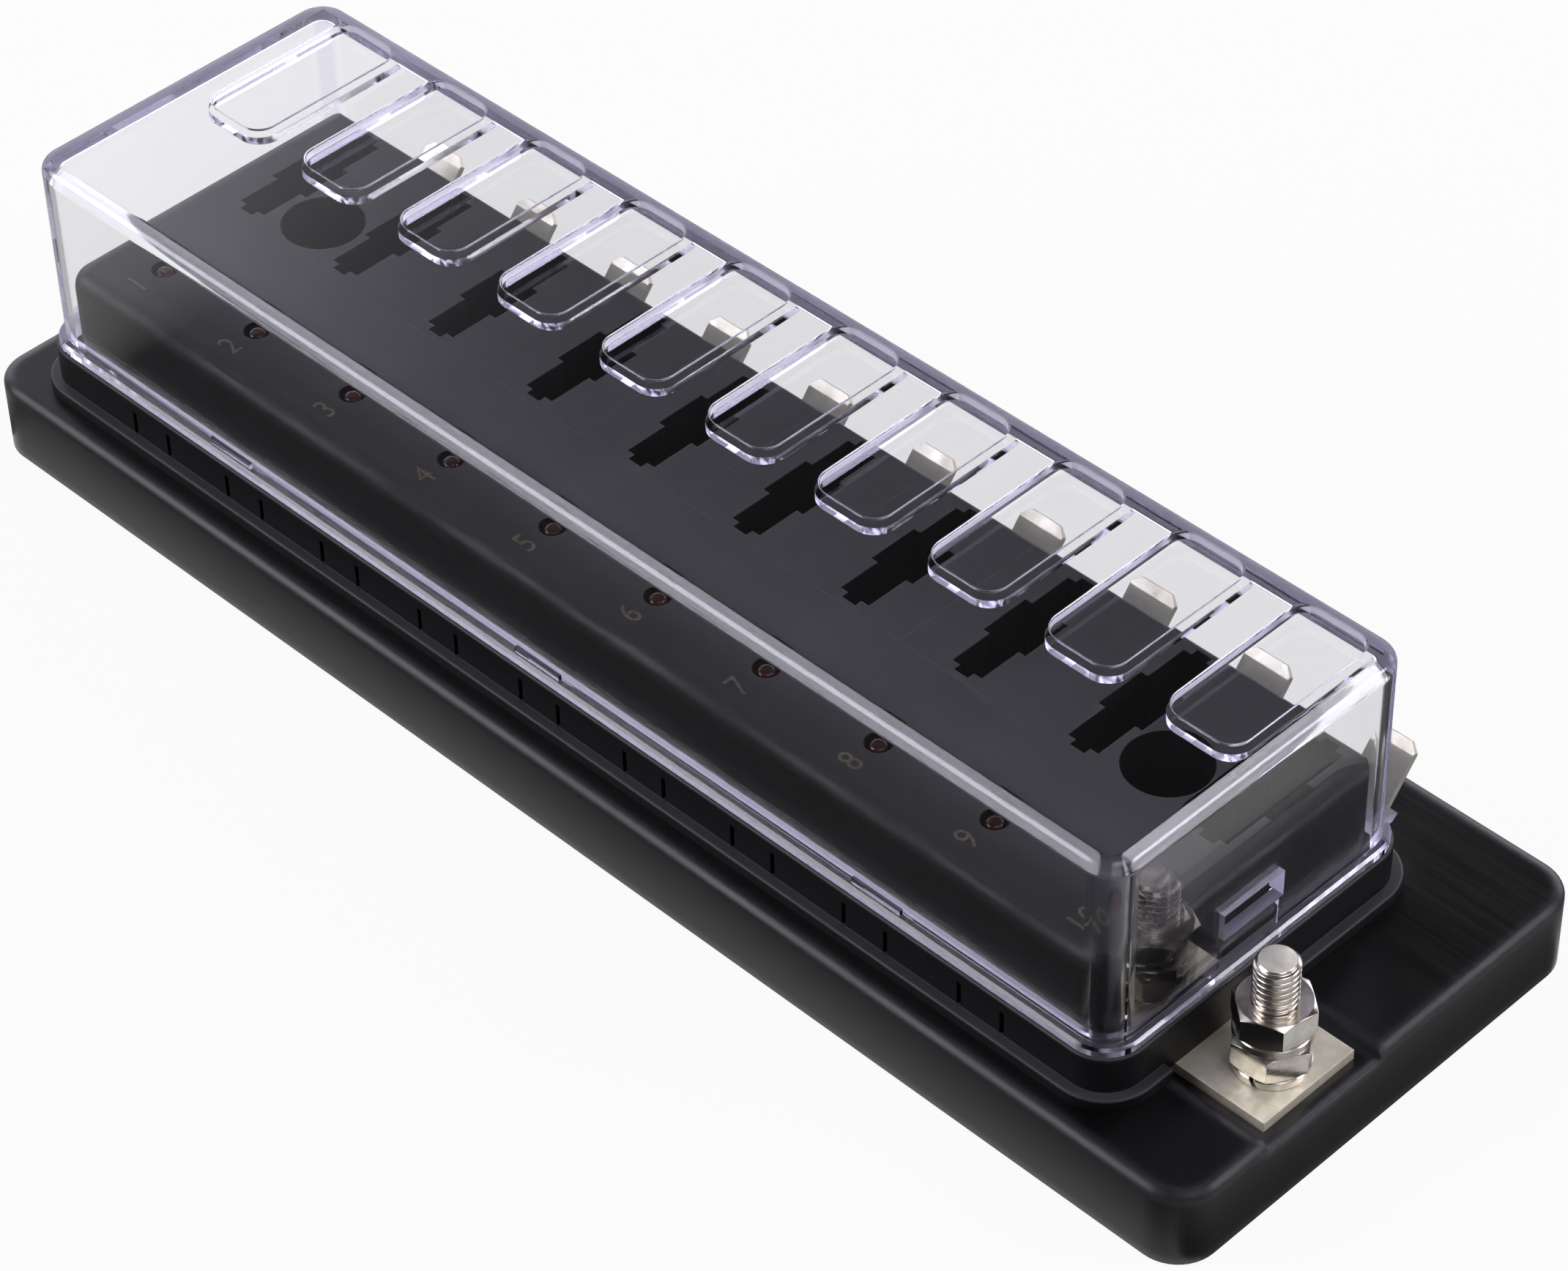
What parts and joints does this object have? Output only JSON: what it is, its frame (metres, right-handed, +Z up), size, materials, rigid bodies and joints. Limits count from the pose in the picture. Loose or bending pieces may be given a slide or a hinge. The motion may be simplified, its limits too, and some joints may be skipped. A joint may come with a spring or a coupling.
{
  "type": "blade fuse block",
  "caption": "Panel mounted blade fuse block with a supply stud at one end, push-on output tabs along one side, indicator lamps and a clear lift-off cover.",
  "frame": {"origin": "middle of the underside of the base", "axes": "+X along the length towards the supply stud, +Y towards the output tabs, +Z up out of the base"},
  "size_m": [0.19, 0.0634, 0.0428],
  "materials": {
    "base_plastic": "satin moulded",
    "body_plastic": "satin moulded",
    "clear_plastic": "clear polished",
    "bus_metal": "nickel plated",
    "terminal_metal": "nickel plated",
    "stud_metal": "nickel plated",
    "nut_metal": "nickel plated",
    "washer_metal": "nickel plated",
    "indicator_red": "tinted lens",
    "board_green": "circuit board"
  },
  "bodies": {
    "base": {"mounting_base": "base_plastic", "fuse_body": "body_plastic", "bus_bar": "bus_metal", "indicator_board": "board_green", "supply_stud": "stud_metal", "lower_lock_washer": "washer_metal", "lower_nut": "nut_metal", "fuse_socket_01": "body_plastic", "fuse_socket_02": "body_plastic", "fuse_socket_03": "body_plastic", "fuse_socket_04": "body_plastic", "fuse_socket_05": "body_plastic", "fuse_socket_06": "body_plastic", "fuse_socket_07": "body_plastic", "fuse_socket_08": "body_plastic", "fuse_socket_09": "body_plastic", "fuse_socket_10": "body_plastic", "input_clip_01": "terminal_metal", "input_clip_02": "terminal_metal", "input_clip_03": "terminal_metal", "input_clip_04": "terminal_metal", "input_clip_05": "terminal_metal", "input_clip_06": "terminal_metal", "input_clip_07": "terminal_metal", "input_clip_08": "terminal_metal", "input_clip_09": "terminal_metal", "input_clip_10": "terminal_metal", "output_terminal_01": "terminal_metal", "output_terminal_02": "terminal_metal", "output_terminal_03": "terminal_metal", "output_terminal_04": "terminal_metal", "output_terminal_05": "terminal_metal", "output_terminal_06": "terminal_metal", "output_terminal_07": "terminal_metal", "output_terminal_08": "terminal_metal", "output_terminal_09": "terminal_metal", "output_terminal_10": "terminal_metal", "indicator_01": "indicator_red", "indicator_02": "indicator_red", "indicator_03": "indicator_red", "indicator_04": "indicator_red", "indicator_05": "indicator_red", "indicator_06": "indicator_red", "indicator_07": "indicator_red", "indicator_08": "indicator_red", "indicator_09": "indicator_red", "indicator_10": "indicator_red"},
    "cover": {"clear_cover": "clear_plastic"},
    "split_washer": {"upper_lock_washer": "washer_metal"},
    "nut": {"terminal_nut": "nut_metal"}
  },
  "joints": [
    {"name": "cover_lift", "type": "slide", "parent": "base", "child": "cover", "axis": [0, 0, 1], "range_m": [0, 0.03]},
    {"name": "nut_travel", "type": "slide", "parent": "base", "child": "split_washer", "axis": [0, 0, 1], "range_m": [0, 0.0104]},
    {"name": "nut_spin", "type": "hinge", "parent": "split_washer", "child": "nut", "pos_m": [0.0878, -0.0103, 0.018], "axis": [0, 0, 1], "range_deg": [0, 4680]}
  ],
  "couplings": [
    {"joint": "nut_spin", "follows": "nut_travel", "rad_per_m": 7854}
  ]
}
